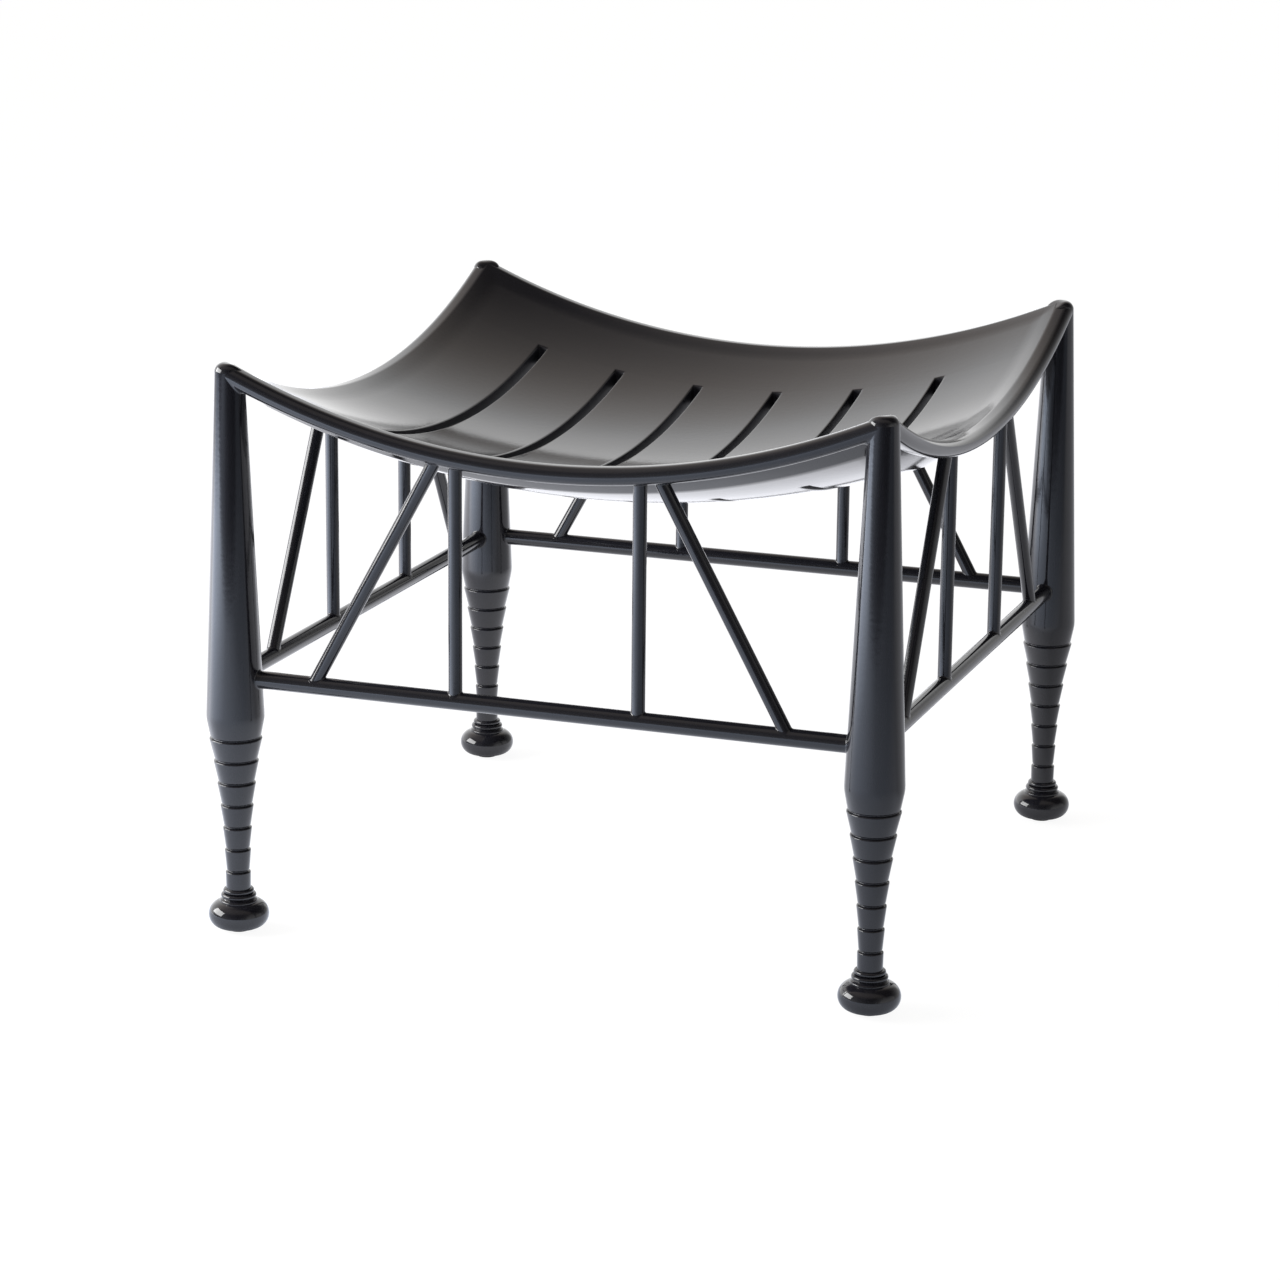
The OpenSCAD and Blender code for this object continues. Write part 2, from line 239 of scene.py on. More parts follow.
def turned(outline, steps):
    """A closed solid of revolution about Z from an outline of (r, z) points"""
    bm = bmesh.new()
    verts = [bm.verts.new((r, 0, z)) for r, z in outline]
    edges = [bm.edges.new(pair) for pair in zip(verts, verts[1:])]
    bmesh.ops.spin(bm, geom=verts + edges, cent=(0, 0, 0), axis=(0, 0, 1),
                   angle=math.tau, steps=steps, use_merge=True)
    bmesh.ops.remove_doubles(bm, verts=bm.verts, dist=1e-6)
    bmesh.ops.recalc_face_normals(bm, faces=bm.faces)
    return bm


def surface_of(*pieces):
    """The surface of finished pieces, for casting the end of a bar onto it"""
    bm = bmesh.new()
    for piece in pieces:
        bm.from_mesh(piece.data)
    return BVHTree.FromBMesh(bm)


def run_into(bm, loop, middle, along, surface, reach, flare, rows=5):
    """Carries the open end of a bar along its line onto a surface, with a fillet there. flare
    gives the fillet's length and its width as a vector, for each way out from the bar's middle."""
    arms = {}
    for edge in loop:
        for v in edge.verts:
            arm = v.co - middle
            arms[v] = arm - arm.dot(along) * along
    for row in range(rows + 2):
        turn = min(row / rows, 1) * math.pi / 2
        grown = bmesh.ops.extrude_edge_only(bm, edges=loop)["geom"]
        fresh = {g for g in grown if isinstance(g, bmesh.types.BMVert)}
        for v in fresh:
            old = next(e.other_vert(v) for e in v.link_edges if e.other_vert(v) not in fresh)
            arms[v] = arms[old]
        loop = [g for g in grown if isinstance(g, bmesh.types.BMEdge)
                and g.verts[0] in fresh and g.verts[1] in fresh]
        for v in fresh:
            arm = arms[v]
            hit = surface.ray_cast(middle + arm, along, reach)
            square = 0 if hit[0] is None else min(max(-hit[1].dot(along) / FULL_FILLET, 0), 1)
            long, wide = flare(arm.normalized())
            gap = long * (1 - math.sin(turn)) if row <= rows else -SINK
            start = middle + arm + wide * (1 - math.cos(turn)) * square
            hit = surface.ray_cast(start, along, reach)
            distance = reach if hit[0] is None else hit[3]
            v.co = start + along * (distance - gap)
    bmesh.ops.holes_fill(bm, edges=loop, sides=0)


def even_flare(way):
    """The length and width of the small fillet that a stretcher's or spindle's end has all round"""
    return settings().bar.fillet, way * settings().bar.fillet


def open_bar(start, end, radius, segments):
    """An open round tube about the line from one point to another, and the loops at its ends"""
    bm = bmesh.new()
    along = (end - start).normalized()
    turn = along.to_track_quat("Z", "Y").to_matrix().to_4x4()
    bmesh.ops.create_circle(bm, segments=segments, radius=radius,
                            matrix=Matrix.Translation(start) @ turn)
    first = bm.edges[:]
    grown = bmesh.ops.extrude_edge_only(bm, edges=first)["geom"]
    fresh = {g for g in grown if isinstance(g, bmesh.types.BMVert)}
    bmesh.ops.translate(bm, verts=list(fresh), vec=end - start)
    last = [g for g in grown if isinstance(g, bmesh.types.BMEdge)
            and g.verts[0] in fresh and g.verts[1] in fresh]
    return bm, first, last, along


def finish_piece(name, bm, material, node, side=0):
    """Makes the shape an object that stands for a CAD node, turned to its side of the stool"""
    bmesh.ops.recalc_face_normals(bm, faces=bm.faces)
    bmesh.ops.rotate(bm, verts=bm.verts, cent=(0, 0, 0),
                     matrix=Matrix.Rotation(math.radians(90 * side), 3, "Z"))
    for face in bm.faces:
        face.smooth = True
    mesh = bpy.data.meshes.new(name)
    bm.to_mesh(mesh)
    mesh.set_sharp_from_angle(angle=SHARP_EDGE)
    piece = bpy.data.objects.new(name, mesh)
    bpy.context.scene.collection.objects.link(piece)
    mesh.materials.append(material)
    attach(piece, "root")
    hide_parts(node)
    return piece


# Materials

class Nodes:
    """A short way to write a node tree"""

    def __init__(self, tree):
        self.tree = tree
        tree.nodes.clear()

    def add(self, kind, inputs=(), **options):
        node = self.tree.nodes.new(kind)
        for name, value in options.items():
            setattr(node, name, value)
        for name, value in dict(inputs).items():
            if isinstance(value, bpy.types.NodeSocket):
                self.tree.links.new(value, node.inputs[name])
            else:
                node.inputs[name].default_value = value
        return node

    def math(self, operation, *values):
        return self.add("ShaderNodeMath", dict(enumerate(values)), operation=operation).outputs[0]

    def span(self, value, low, high, to_low, to_high, kind="LINEAR"):
        """Maps one range of a value onto another"""
        return self.add("ShaderNodeMapRange", {
            "Value": value, "From Min": low, "From Max": high, "To Min": to_low, "To Max": to_high,
        }, interpolation_type=kind).outputs[0]

    def mix(self, factor, first, second):
        node = self.add("ShaderNodeMix", {0: factor, 6: first, 7: second}, data_type="RGBA")
        return node.outputs[2]

    def ramp(self, value, stops):
        """A line through stops (value, level)"""
        low, high = stops[0][0], stops[-1][0]
        peak = max(level for _, level in stops)
        node = self.add("ShaderNodeValToRGB", {0: self.span(value, low, high, 0.0, 1.0)})
        points = node.color_ramp.elements
        while len(points) < len(stops):
            points.new(0.5)
        for point, (at, level) in zip(points, stops):
            point.position = (at - low) / (high - low)
            point.color = (level / peak, level / peak, level / peak, 1)
        return self.math("MULTIPLY", node.outputs[0], peak)

    def mix_value(self, factor, first, second):
        return self.add("ShaderNodeMix", {0: factor, 2: first, 3: second}).outputs[0]

    def noise(self, vector, scale, detail=3.0, roughness=0.5):
        return self.add("ShaderNodeTexNoise", {
            "Vector": vector, "Scale": scale, "Detail": detail, "Roughness": roughness,
        }).outputs["Fac"]


def new_material(name):
    material = bpy.data.materials.get(name)
    if material is None:
        material = bpy.data.materials.new(name)
    material.use_nodes = True
    return material, Nodes(material.node_tree)


def lacquer(name, stretch, dull_cuts=False):
    """Near-black gloss lacquer over wood, whose grain shows faintly and runs the way stretch says.
    On a level panel, cuts that stand upright can be duller than its faces."""
    found = bpy.data.materials.get(name)
    if found:
        return found
    finish = settings().finish
    material, nodes = new_material(name)
    place = nodes.add("ShaderNodeTexCoord").outputs["Object"]
    grain_place = nodes.add("ShaderNodeMapping", {"Vector": place, "Scale": stretch}).outputs[0]
    grain = nodes.noise(grain_place, 420.0, 4.0, 0.6)
    cloud = nodes.noise(place, 16.0, 2.0)
    peel = nodes.noise(place, 330.0, 1.0)
    specks = nodes.noise(place, 1400.0, 1.0)
    tone = nodes.math("ADD", nodes.math("MULTIPLY", grain, 0.6), nodes.math("MULTIPLY", cloud, 0.4))
    base = nodes.mix(nodes.span(tone, 0.35, 0.65, 0.0, 1.0),
                     (*finish.lacquer, 1), (*finish.lacquer_pale, 1))
    rough = nodes.span(nodes.math("ADD", nodes.math("MULTIPLY", cloud, 0.6),
                                  nodes.math("MULTIPLY", specks, 0.4)),
                       0.3, 0.7, finish.gloss, finish.dull)
    gleam = 0.5
    if dull_cuts:
        facing = nodes.add("ShaderNodeTexCoord").outputs["Normal"]
        up = nodes.math("ABSOLUTE", nodes.add("ShaderNodeSeparateXYZ", {0: facing}).outputs[2])
        rough = nodes.mix_value(nodes.span(up, 0.3, 0.6, 0.0, 1.0), finish.cut, rough)
        gleam = nodes.span(up, 0.3, 0.6, 0.2, 0.5)
    wavy = nodes.add("ShaderNodeBump", {"Height": peel, "Strength": 0.05,
                                        "Distance": 0.0004}).outputs[0]
    streaked = nodes.add("ShaderNodeBump", {"Height": grain, "Strength": 0.06,
                                            "Distance": 0.0002, "Normal": wavy}).outputs[0]
    shader = nodes.add("ShaderNodeBsdfPrincipled", {
        "Base Color": base, "Roughness": rough, "Specular IOR Level": gleam, "IOR": 1.5,
        "Normal": streaked,
    })
    nodes.add("ShaderNodeOutputMaterial", {"Surface": shader.outputs[0]})
    return material


def upright_lacquer():
    return lacquer("black_lacquer_upright", (1.0, 1.0, 0.04))


def side_lacquer(side):
    """The lacquer of a level bar of a side, with its grain along the bar"""
    if side % 2:
        return lacquer("black_lacquer_side_bar", (1.0, 0.04, 1.0))
    return lacquer("black_lacquer_front_bar", (0.04, 1.0, 1.0))


# Operators

class StoolOperator:
    """What the stool's operators share"""
    bl_options = {"REGISTER", "UNDO"}


class STOOL_OT_legs(StoolOperator, bpy.types.Operator):
    """Build the four turned legs"""
    bl_idname = "stool.legs"
    bl_label = "Legs"

    STEPS = 96
    ANKLE_LENGTH = 2 * MM
    LIP_ROUND = 0.8 * MM
    GROOVE_ROUND = 0.3 * MM
    EDGE_ROUND = 1.0 * MM
    BODY_ROUND = 22 * MM
    TOP_BLEND = 1.6 * MM
    CROWN_LIFT = 0.25 * MM

    def outline(self):
        """The outline of a leg from the glide's recess up to the middle of its crown"""
        leg = settings().leg
        foot = FOOT_RADIUS - leg.foot_round
        lower = leg.lower_ring_radius - leg.ring_edge
        upper = leg.upper_ring_radius - leg.ring_edge
        base = [(0, leg.glide_depth), (leg.glide_radius, leg.glide_depth),
                (leg.glide_radius, FOOT_BASE)]
        base += arc(foot, FOOT_BASE + leg.foot_round, leg.foot_round, -90, 80, 7)
        base += arc(leg.collar_radius - leg.collar_edge, leg.collar_height, leg.collar_edge,
                    -12, 80)
        base += arc(lower, leg.lower_ring_height, leg.ring_edge, -70, 88)
        base += arc(upper, leg.upper_ring_height, leg.ring_edge, -80, 75)
        ankle = leg.upper_ring_height + leg.ring_edge
        corners = [(leg.ankle_radius, ankle, 0), (leg.ankle_radius, ankle + self.ANKLE_LENGTH, 0)]
        for i in reversed(range(leg.lip_count)):
            height = leg.lip_top - i * leg.lip_pitch
            rise = (leg.lip_count - 1 - i) / (leg.lip_count - 1)
            lip = leg.lip_last + (leg.lip_first - leg.lip_last) * rise ** leg.lip_draw
            edge = lip - leg.lip_step
            floor = edge - leg.groove_depth
            corners += [(lip, height, self.LIP_ROUND),
                        (floor, height + leg.groove_height / 3, self.GROOVE_ROUND),
                        (floor, height + leg.groove_height * 2 / 3, self.GROOVE_ROUND),
                        (edge, height + leg.groove_height, self.EDGE_ROUND)]
        corners += [(leg.body_radius, leg.body_height, self.BODY_ROUND)]
        shoulder = LEG_TOP - leg.top_round
        body = leg.top_radius - leg.body_radius
        for part in (0.3, 0.6, 0.9, 0.95, 0.98):
            corners.append((leg.body_radius + body * part,
                            leg.body_height + (shoulder - leg.body_height) * part, 0))
        corners.append((leg.top_radius, shoulder, 0))
        crown = leg.top_radius - leg.top_round
        top = arc(crown, shoulder, leg.top_round, 0, 90, 7)
        top += [(crown * part, LEG_TOP) for part in (0.75, 0.5, 0.25, 0)]
        return base + rounded(corners) + top[1:]

    def execute(self, context):
        centre = Vector((-HALF, HALF, dish_centre()))
        hollow = math.hypot(rail_arc() - RAIL_RADIUS, HALF) - self.CROWN_LIFT
        for k, corner in enumerate(CORNERS):
            bm = turned(self.outline(), self.STEPS)
            for v in bm.verts:
                arm = v.co - centre
                depth = arm.length - hollow
                blend = max(self.TOP_BLEND - abs(depth), 0) / self.TOP_BLEND
                if v.co.z > LEG_TOP / 2:
                    depth = max(depth, 0) + blend ** 2 * self.TOP_BLEND / 4
                    v.co = centre + arm.normalized() * (hollow + depth)
            bmesh.ops.translate(bm, verts=bm.verts, vec=(HALF, -HALF, 0))
            finish_piece(f"turned_leg_{corner}", bm, upright_lacquer(),
                         f"leg_{corner}", k)
        return {"FINISHED"}


class STOOL_OT_rails(StoolOperator, bpy.types.Operator):
    """Build the four sagging rim rails between the leg tops"""
    bl_idname = "stool.rails"
    bl_label = "Rim Rails"

    STEPS = 72
    FILLET_ROWS = 10

    def execute(self, context):
        bar, leg = settings().bar, settings().leg
        beyond = math.asin(bar.rail_flat / RAIL_RADIUS)
        quarter = math.pi / 2
        outer = [(bar.rail_out, quarter * (i / 10 - 1)) for i in range(21)]
        below = [(0, -quarter - beyond * (1 - i / 4)) for i in range(5)]
        section = below + outer + [(0, -turn) for _, turn in reversed(below)]
        centre = Vector((0, -HALF, dish_centre()))
        near_leg = HALF - leg.top_radius - bar.rail_fillet
        span = math.asin(near_leg / rail_arc())
        surface = surface_of(bpy.data.objects["turned_leg_front_right"],
                             bpy.data.objects["turned_leg_front_left"])

        def flare(way):
            """A fillet under the rail and on its inner side. The outer side is flush with the
            leg, and the top runs into the leg's rounding."""
            return bar.rail_fillet, Vector((0, max(way.y, 0), min(way.z, 0))) * bar.rail_fillet

        for k, side in enumerate(SIDES):
            bm = bmesh.new()
            verts = [bm.verts.new((0, -HALF - out - RAIL_RADIUS * math.cos(turn),
                                   RAIL_RADIUS * math.sin(turn) - rail_arc() + centre.z))
                     for out, turn in section]
            edges = [bm.edges.new((a, b)) for a, b in zip(verts, verts[1:] + verts[:1])]
            bmesh.ops.rotate(bm, verts=verts, cent=centre,
                             matrix=Matrix.Rotation(span, 3, "Y"))
            grown = bmesh.ops.spin(bm, geom=verts + edges, cent=centre, axis=(0, 1, 0),
                                   angle=-2 * span, steps=self.STEPS)["geom_last"]
            last = [g for g in grown if isinstance(g, bmesh.types.BMEdge)]
            for loop in (edges, last):
                way = 1 if sum(e.verts[0].co.x for e in loop) > 0 else -1
                middle = centre + Vector((way * near_leg, 0,
                                          -math.sqrt(rail_arc() ** 2 - near_leg ** 2)))
                along = Vector((way * math.cos(span), 0, math.sin(span)))
                run_into(bm, loop, middle, along, surface,
                         (HALF - near_leg) / math.cos(span), flare, self.FILLET_ROWS)
            finish_piece(f"sagging_rail_{side}", bm, side_lacquer(k),
                         f"rim_rail_{side}", k)
        return {"FINISHED"}


class STOOL_OT_seat(StoolOperator, bpy.types.Operator):
    """Build the hollow slotted seat panel"""
    bl_idname = "stool.seat"
    bl_label = "Seat Panel"

    REACH = 1.0 * MM
    BLEND = 13 * MM
    GRID = 58
    MERGE = 0.2 * MM
    SLOT_BORDER = 1.6 * MM
    RIM_LOOPS = (1.5 * MM, 4 * MM, 8 * MM, 11.5 * MM, 15 * MM)

    def execute(self, context):
        seat, bar = settings().seat, settings().bar
        edge = PANEL_EDGE + self.REACH
        bm = bmesh.new()
        bmesh.ops.create_grid(bm, x_segments=self.GRID, y_segments=self.GRID, size=edge)
        slots = [(i - (seat.slot_count - 1) / 2) * seat.slot_pitch for i in range(seat.slot_count)]
        side, end = seat.slot_width / 2, seat.slot_length / 2
        cuts = [(x + way * out, 0) for x in slots for way in (-1, 1)
                for out in (side, side + self.SLOT_BORDER)]
        cuts += [(way * (edge - out), turn) for way in (-1, 1) for turn in (0, 1)
                 for out in self.RIM_LOOPS]
        cuts += [(way * (end + out), 1) for way in (-1, 1) for out in (0, self.SLOT_BORDER)]
        for place, turn in cuts:
            axis = Vector((1 - turn, turn, 0))
            bmesh.ops.bisect_plane(bm, geom=bm.verts[:] + bm.edges[:] + bm.faces[:],
                                   dist=1e-6, plane_co=axis * place, plane_no=axis)
        bmesh.ops.remove_doubles(bm, verts=bm.verts, dist=self.MERGE)
        holes = [f for f in bm.faces if abs(f.calc_center_median().y) < end
                 and any(abs(f.calc_center_median().x - x) < side for x in slots)]
        bmesh.ops.delete(bm, geom=holes, context="FACES")
        top = bm.faces[:]
        grown = bmesh.ops.extrude_face_region(bm, geom=top)["geom"]
        under = [g for g in grown if isinstance(g, bmesh.types.BMVert)]
        bmesh.ops.translate(bm, verts=under, vec=(0, 0, -seat.thickness))
        bmesh.ops.recalc_face_normals(bm, faces=bm.faces)

        def level_sides(e):
            return len(e.link_faces) == 2 and e.calc_face_angle(0) > 1

        def on_rim(e):
            return all(max(abs(v.co.x), abs(v.co.y)) > edge - self.REACH / 2 for v in e.verts)

        lower = [e for e in bm.edges if level_sides(e) and on_rim(e)
                 and all(v.co.z < -seat.thickness / 2 for v in e.verts)]
        slot_edges = [e for e in bm.edges if level_sides(e) and not on_rim(e)]
        bmesh.ops.bevel(bm, geom=slot_edges, offset=seat.slot_edge, segments=3, profile=0.5,
                        affect="EDGES", material=-1)
        lower = [e for e in lower if e.is_valid]
        bmesh.ops.bevel(bm, geom=lower, offset=seat.lower_edge, segments=3, profile=0.5,
                        affect="EDGES", material=-1)
        # The upper side rises to meet the rails' round side, and the lower side is bevelled so
        # that the panel ends at the rails' flat inner faces
        inward = HALF - edge
        rim_arc = rail_arc() - math.sqrt(RAIL_RADIUS ** 2 - inward ** 2)
        rise = seat.radius - math.hypot(rim_arc, edge)
        thin = math.hypot(rail_arc() + math.sqrt(RAIL_RADIUS ** 2 - bar.rail_flat ** 2),
                          PANEL_EDGE) - seat.radius
        centre = dish_centre()
        for v in bm.verts:
            out = max(abs(v.co.x), abs(v.co.y))
            past = max(out - PANEL_EDGE + seat.edge_bevel, 0) / seat.edge_bevel
            v.co.z *= 1 - (1 - thin / seat.thickness) * past
            part = min(max((out - edge + self.BLEND) / self.BLEND, 0), 1)
            lift = rise * part * part * (3 - 2 * part) * (1 + v.co.z / seat.thickness)
            radius = seat.radius - v.co.z - lift
            v.co.z = centre - math.sqrt(radius ** 2 - v.co.x ** 2 - v.co.y ** 2)
        finish_piece("dished_seat", bm, lacquer("black_lacquer_seat", (0.04, 1.0, 1.0), True),
                     "seat_panel")
        return {"FINISHED"}


class STOOL_OT_stretchers(StoolOperator, bpy.types.Operator):
    """Build the four stretchers between the legs"""
    bl_idname = "stool.stretchers"
    bl_label = "Stretchers"

    def execute(self, context):
        surface = surface_of(bpy.data.objects["turned_leg_front_right"],
                             bpy.data.objects["turned_leg_front_left"])
        for k, side in enumerate(SIDES):
            reach = HALF - settings().leg.body_radius - 2 * MM
            ends = [Vector((way * reach, -HALF, STRETCHER_HEIGHT)) for way in (-1, 1)]
            bm, first, last, along = open_bar(*ends, STRETCHER_RADIUS, STRETCHER_SEGMENTS)
            run_into(bm, first, ends[0], -along, surface, HALF - reach, even_flare)
            run_into(bm, last, ends[1], along, surface, HALF - reach, even_flare)
            finish_piece(f"round_stretcher_{side}", bm, side_lacquer(k),
                         f"stretcher_{side}", k)
        return {"FINISHED"}


class STOOL_OT_spindles(StoolOperator, bpy.types.Operator):
    """Build the upright spindles and the slanting ones"""
    bl_idname = "stool.spindles"
    bl_label = "Spindles"

    def execute(self, context):
        bar = settings().bar
        above = surface_of(bpy.data.objects["sagging_rail_front"], bpy.data.objects["dished_seat"])
        below = surface_of(bpy.data.objects["round_stretcher_front"])
        rows = {"upright": (UPRIGHT_OFFSET, UPRIGHT_OFFSET),
                "brace": (bar.brace_foot, bar.brace_head)}
        for k, side in enumerate(SIDES):
            neighbours = (SIDES[k - 1], SIDES[(k + 1) % 4])
            for kind, (foot_at, head_at) in rows.items():
                for way, neighbour in zip((-1, 1), neighbours):
                    head_z = dish_centre() - math.sqrt(rail_arc() ** 2 - head_at ** 2)
                    foot = Vector((way * foot_at, -HALF, STRETCHER_HEIGHT))
                    head = Vector((way * head_at, -HALF, head_z))
                    inner = (foot.lerp(head, 0.3), foot.lerp(head, 0.7))
                    bm, first, last, along = open_bar(*inner, SPINDLE_RADIUS, SPINDLE_SEGMENTS)
                    reach = (head - foot).length / 2
                    run_into(bm, first, inner[0], -along, below, reach, even_flare)
                    run_into(bm, last, inner[1], along, above, reach, even_flare)
                    finish_piece(f"round_{kind}_{side}_{neighbour}", bm, upright_lacquer(),
                                 f"{kind}_{side}_{neighbour}", k)
        return {"FINISHED"}


class STOOL_OT_hidden_parts(StoolOperator, bpy.types.Operator):
    """Give the dowels, the glides and their nails their materials"""
    bl_idname = "stool.hidden_parts"
    bl_label = "Dowels and Glides"

    def simple(self, name, tint, dark, scale, stretch, rough, bump, **shader):
        """A material with a mottled colour, a varied roughness and a fine bump"""
        material, nodes = new_material(name)
        place = nodes.add("ShaderNodeTexCoord").outputs["Object"]
        along = nodes.add("ShaderNodeMapping", {"Vector": place, "Scale": stretch}).outputs[0]
        pattern = nodes.noise(along, scale, 4.0)
        base = nodes.mix(nodes.span(pattern, 0.3, 0.7, 0.0, 1.0),
                         (*(c * dark for c in tint), 1), (*tint, 1))
        normal = nodes.add("ShaderNodeBump", {"Height": pattern, "Strength": bump,
                                              "Distance": 0.0003}).outputs[0]
        out = nodes.add("ShaderNodeBsdfPrincipled", {
            "Base Color": base, "Roughness": nodes.span(pattern, 0.3, 0.7, *rough),
            "Normal": normal, **shader})
        nodes.add("ShaderNodeOutputMaterial", {"Surface": out.outputs[0]})
        return material

    def execute(self, context):
        finish = settings().finish
        coats = {
            "seat_dowels": self.simple("dowel_beech", finish.beech, 0.7, 900.0, (1, 1, 0.08),
                                       (0.45, 0.65), 0.3),
            "foot_glides": self.simple("glide_nylon", finish.nylon, 0.6, 1500.0, (1, 1, 1),
                                       (0.35, 0.55), 0.25),
            "glide_nails": self.simple("nail_steel", finish.steel, 0.75, 2200.0, (1, 1, 1),
                                       (0.2, 0.4), 0.15, Metallic=1.0),
        }
        for node, material in coats.items():
            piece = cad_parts[node]
            piece.data.materials.clear()
            piece.data.materials.append(material)
        return {"FINISHED"}


class STOOL_OT_studio(StoolOperator, bpy.types.Operator):
    """Set up the floor, the light and the camera"""
    bl_idname = "stool.studio"
    bl_label = "Studio"

    CAMERA = Vector((0.8068, -2.2786, 0.797))
    TURNS = (("Z", 19.826), ("X", 90 - 14.848), ("Z", 0.562))
    SOFTBOX = {"azimuth": -112, "elevation": 19, "distance": 1.6, "width": 1.3, "height": 0.75}
    LAMP_AIM = Vector((0, 0, 0.15))
    FLOOR_SIZE = 12
    SEEN_FLOOR = 0.93
    SHADOW_VEIL = (0.16, 0.16, 0.16, 1)
    FLOOR_GLOW = 1.18
    PAINTED_SHADE_REACH = 90 * MM
    COOL_GLOW = (0.74, 0.83, 1.0, 1)
    PALE_GLOW = (0.93, 0.94, 1.0, 1)
    PLAIN = (1, 1, 1, 1)
    WARM_CEILING = (1, 0.91, 0.84, 1)
    # Stops of the floor's painted glow in reflections, which paints both its light and the shade
    # under the stool, as (metres, brightness) across the floor, in front of the stool and behind
    # it, and of the room in front, as (direction, brightness)
    FLOOR_ACROSS = ((-3.0, 1.0), (-2.4, 1.8), (-2.0, 3.6), (-1.6, 5.8), (-1.2, 5.1), (-0.8, 3.5),
                    (-0.4, 1.95), (0.0, 1.35), (0.4, 0.8), (1.2, 0.5), (2.0, 0.3))
    FLOOR_AHEAD = ((-3.2, 0.17), (-1.9, 0.18), (-1.65, 0.25), (-1.5, 0.5), (-1.38, 0.95),
                   (-1.3, 1.0), (-0.15, 1.0), (0.05, 0.55), (0.8, 0.4))
    FLOOR_BEHIND = ((-0.35, 0.0), (-0.12, 1.0), (0.3, 1.35), (1.5, 1.35), (3.0, 1.2))
    FRONT = ((-1.0, 0.6), (-0.6, 0.5), (-0.3, 0.28), (0.1, 0.12), (0.5, 0.12), (0.75, 0.35),
             (0.88, 0.9), (1.0, 0.9))

    def camera(self, scene):
        """A camera in the photograph's direction, without shift"""
        camera = bpy.data.objects.new("camera", bpy.data.cameras.new("camera"))
        camera.data.sensor_width = 36
        camera.data.lens = settings().studio.lens
        camera.data.clip_end = 100
        place = Matrix.Translation(self.CAMERA)
        for axis, angle in self.TURNS:
            place = place @ Matrix.Rotation(math.radians(angle), 4, axis)
        camera.matrix_world = place
        scene.collection.objects.link(camera)
        scene.camera = camera

    def floor(self, scene):
        """A white floor that keeps a faint shadow of the stool. In the gloss of the stool it shows
        a painted glow in place of lit floor: painted light that is brighter on the left, on the
        lamp's side, and fades to the front and right, and painted shade near and under the stool."""
        material, nodes = new_material("pale_floor")
        place = nodes.add("ShaderNodeTexCoord").outputs["Object"]
        x, y, _ = nodes.add("ShaderNodeSeparateXYZ", {0: place}).outputs
        path = nodes.add("ShaderNodeLightPath").outputs
        # Painted light and shade of the floor as the stool reflects it, set by place on the floor
        across = nodes.ramp(x, self.FLOOR_ACROSS)
        ahead = nodes.ramp(y, self.FLOOR_AHEAD)
        behind = nodes.math("MULTIPLY", nodes.ramp(y, self.FLOOR_BEHIND),
                            nodes.span(x, 0.05, 0.3, 1.0, 0.5))
        # Painted contact shade: ambient occlusion darkens the painted glow close to the stool
        painted_contact_shade = nodes.add("ShaderNodeAmbientOcclusion", {"Distance": self.PAINTED_SHADE_REACH},
                         samples=4).outputs["AO"]
        level = nodes.math("MULTIPLY", painted_contact_shade, nodes.math(
            "MAXIMUM", nodes.math("MULTIPLY", across, ahead), behind))
        paint = nodes.add("ShaderNodeBsdfDiffuse", {"Color": (*settings().studio.floor, 1)})
        veil = nodes.add("ShaderNodeBsdfDiffuse", {"Color": self.SHADOW_VEIL})
        white = nodes.add("ShaderNodeEmission", {"Strength": self.SEEN_FLOOR})
        tint = nodes.mix(nodes.span(y, -0.5, 0.1, 0.0, 1.0), self.COOL_GLOW, self.PALE_GLOW)
        # The painted glow: an emission seen only in reflections, standing in for lit and shaded
        # floor
        painted_glow = nodes.add("ShaderNodeEmission", {
            "Strength": nodes.math("MULTIPLY", level, self.FLOOR_GLOW), "Color": tint})
        seen = nodes.add("ShaderNodeAddShader", {0: white.outputs[0], 1: veil.outputs[0]})
        glossy = nodes.add("ShaderNodeMixShader", {
            0: path["Is Glossy Ray"], 1: paint.outputs[0], 2: painted_glow.outputs[0]})
        final = nodes.add("ShaderNodeMixShader", {
            0: path["Is Camera Ray"], 1: glossy.outputs[0], 2: seen.outputs[0]})
        nodes.add("ShaderNodeOutputMaterial", {"Surface": final.outputs[0]})
        bm = bmesh.new()
        bmesh.ops.create_grid(bm, x_segments=1, y_segments=1, size=self.FLOOR_SIZE)
        mesh = bpy.data.meshes.new("floor")
        bm.to_mesh(mesh)
        mesh.materials.append(material)
        floor = bpy.data.objects.new("floor", mesh)
        scene.collection.objects.link(floor)

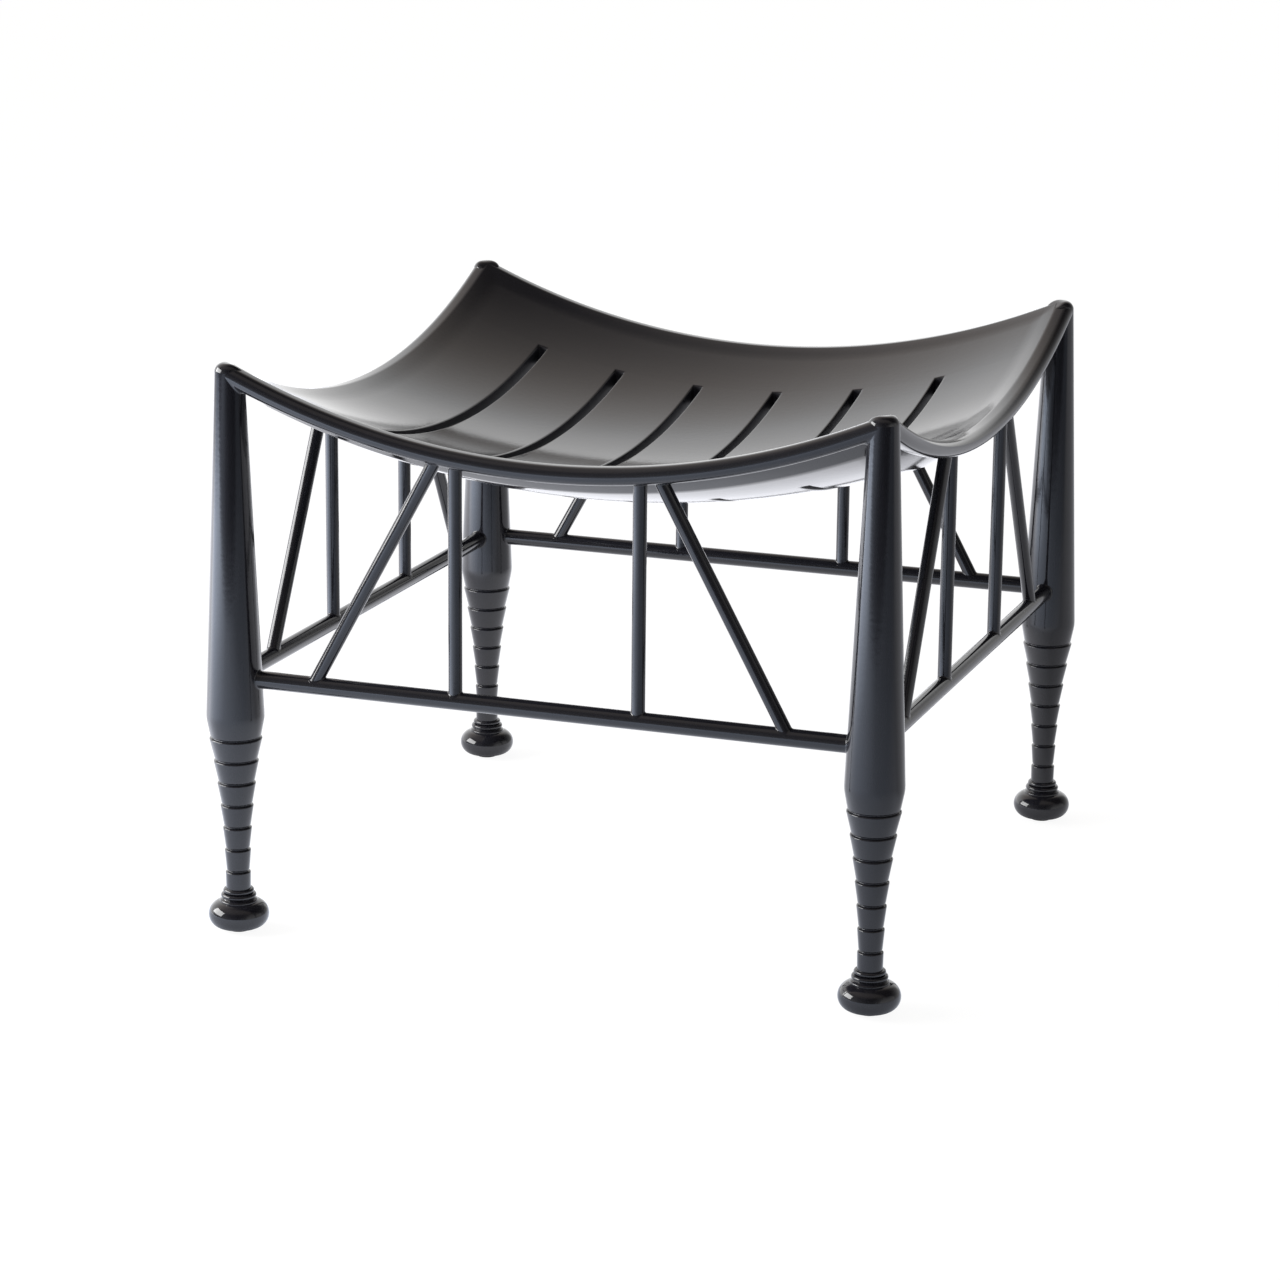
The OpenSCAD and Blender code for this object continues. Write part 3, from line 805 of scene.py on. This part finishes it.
    def world(self, scene):
        """A studio that is pale behind the stool, fades overhead and is dark behind the camera"""
        world = bpy.data.worlds.new("studio")
        world.use_nodes = True
        nodes = Nodes(world.node_tree)
        way = nodes.add("ShaderNodeTexCoord").outputs["Generated"]
        x, y, z = nodes.add("ShaderNodeSeparateXYZ", {0: way}).outputs
        fall = nodes.math("ADD", nodes.math("MULTIPLY", nodes.math("SUBTRACT", z, 0.39), -1.8),
                          nodes.math("MULTIPLY", nodes.math("ADD", x, 0.25), -0.9))
        wall = settings().studio.wall
        most = nodes.span(x, -0.75, -0.3, wall * 1.45, wall, "SMOOTHSTEP")
        back = nodes.math("MINIMUM", nodes.math(
            "MAXIMUM", nodes.math("ADD", fall, wall), 0.1), most)
        back = nodes.math("MULTIPLY", back, nodes.math(
            "MULTIPLY", nodes.span(z, 0.0, 0.3, 1.15, 1.0),
            nodes.span(x, 0.08, 0.3, 1.0, 0.5, "SMOOTHSTEP")))
        right = nodes.math("MULTIPLY", nodes.span(x, 0.75, 0.9, 0.0, 0.8, "SMOOTHSTEP"),
                           nodes.span(z, 0.2, 0.5, 1.0, 0.3))
        front = nodes.math("ADD", nodes.span(z, 0.6, 0.85, 0.0, 0.32), nodes.math(
            "MULTIPLY", nodes.ramp(x, self.FRONT), nodes.span(z, 0.0, 0.4, 1.15, 0.6)))
        level = nodes.mix_value(nodes.span(y, -0.2, 0.1, 0.0, 1.0, "SMOOTHSTEP"), front,
                                nodes.math("MAXIMUM", back, right))
        warm = nodes.mix(nodes.span(z, 0.45, 0.7, 0.0, 1.0), self.PLAIN, self.WARM_CEILING)
        camera = nodes.add("ShaderNodeLightPath").outputs["Is Camera Ray"]
        room = nodes.add("ShaderNodeBackground", {"Color": warm, "Strength": level})
        white = nodes.add("ShaderNodeBackground", {"Strength": 1.0, "Color": self.PLAIN})
        final = nodes.add("ShaderNodeMixShader", {0: camera, 1: room.outputs[0],
                                                  2: white.outputs[0]})
        nodes.add("ShaderNodeOutputWorld", {"Surface": final.outputs[0]})
        scene.world = world

    def lamp(self, scene, name, azimuth, elevation, distance, width, height, radiance):
        """A softbox; azimuth 0 is behind the stool and -90 on its left, in degrees"""
        light = bpy.data.lights.new(name, "AREA")
        light.shape = "RECTANGLE"
        light.size, light.size_y = width, height
        light.energy = radiance * math.pi * width * height
        lamp = bpy.data.objects.new(name, light)
        a, e = math.radians(azimuth), math.radians(elevation)
        way = Vector((math.sin(a) * math.cos(e), math.cos(a) * math.cos(e), math.sin(e)))
        place = way * distance + self.LAMP_AIM
        turn = way.to_track_quat("Z", "Y").to_matrix().to_4x4()
        lamp.matrix_world = Matrix.Translation(place) @ turn
        lamp.visible_camera = False
        scene.collection.objects.link(lamp)

    def execute(self, context):
        scene = context.scene
        self.camera(scene)
        self.floor(scene)
        self.world(scene)
        self.lamp(scene, "softbox", **self.SOFTBOX, radiance=settings().studio.lamp)
        scene.view_settings.view_transform = "Standard"
        return {"FINISHED"}


class STOOL_PT_panel(bpy.types.Panel):
    """Lists the stool's pieces and the studio"""
    bl_label = "Dished Stool"
    bl_idname = "STOOL_PT_panel"
    bl_space_type = "VIEW_3D"
    bl_region_type = "UI"
    bl_category = "Stool"

    def draw(self, context):
        layout = self.layout
        stool = context.scene.stool
        groups = (stool.leg, stool.seat, stool.bar, stool.finish, stool.studio)
        for group in groups:
            box = layout.box()
            for name in group.__annotations__:
                box.prop(group, name)
        for operator in OPERATORS:
            layout.operator(operator.bl_idname)


OPERATORS = (STOOL_OT_legs, STOOL_OT_rails, STOOL_OT_seat, STOOL_OT_stretchers,
             STOOL_OT_spindles, STOOL_OT_hidden_parts, STOOL_OT_studio)
CLASSES = (StoolLegSizes, StoolSeatSizes, StoolBarSizes, StoolFinish, StoolStudio,
           StoolSettings, *OPERATORS, STOOL_PT_panel)


def register():
    for cls in CLASSES:
        bpy.utils.register_class(cls)
    bpy.types.Scene.stool = PointerProperty(type=StoolSettings)


def unregister():
    del bpy.types.Scene.stool
    for cls in reversed(CLASSES):
        bpy.utils.unregister_class(cls)


def main():
    register()
    bpy.ops.stool.legs()
    bpy.ops.stool.rails()
    bpy.ops.stool.seat()
    bpy.ops.stool.stretchers()
    bpy.ops.stool.spindles()
    bpy.ops.stool.hidden_parts()
    bpy.ops.stool.studio()


if __name__ == "__main__":
    main()
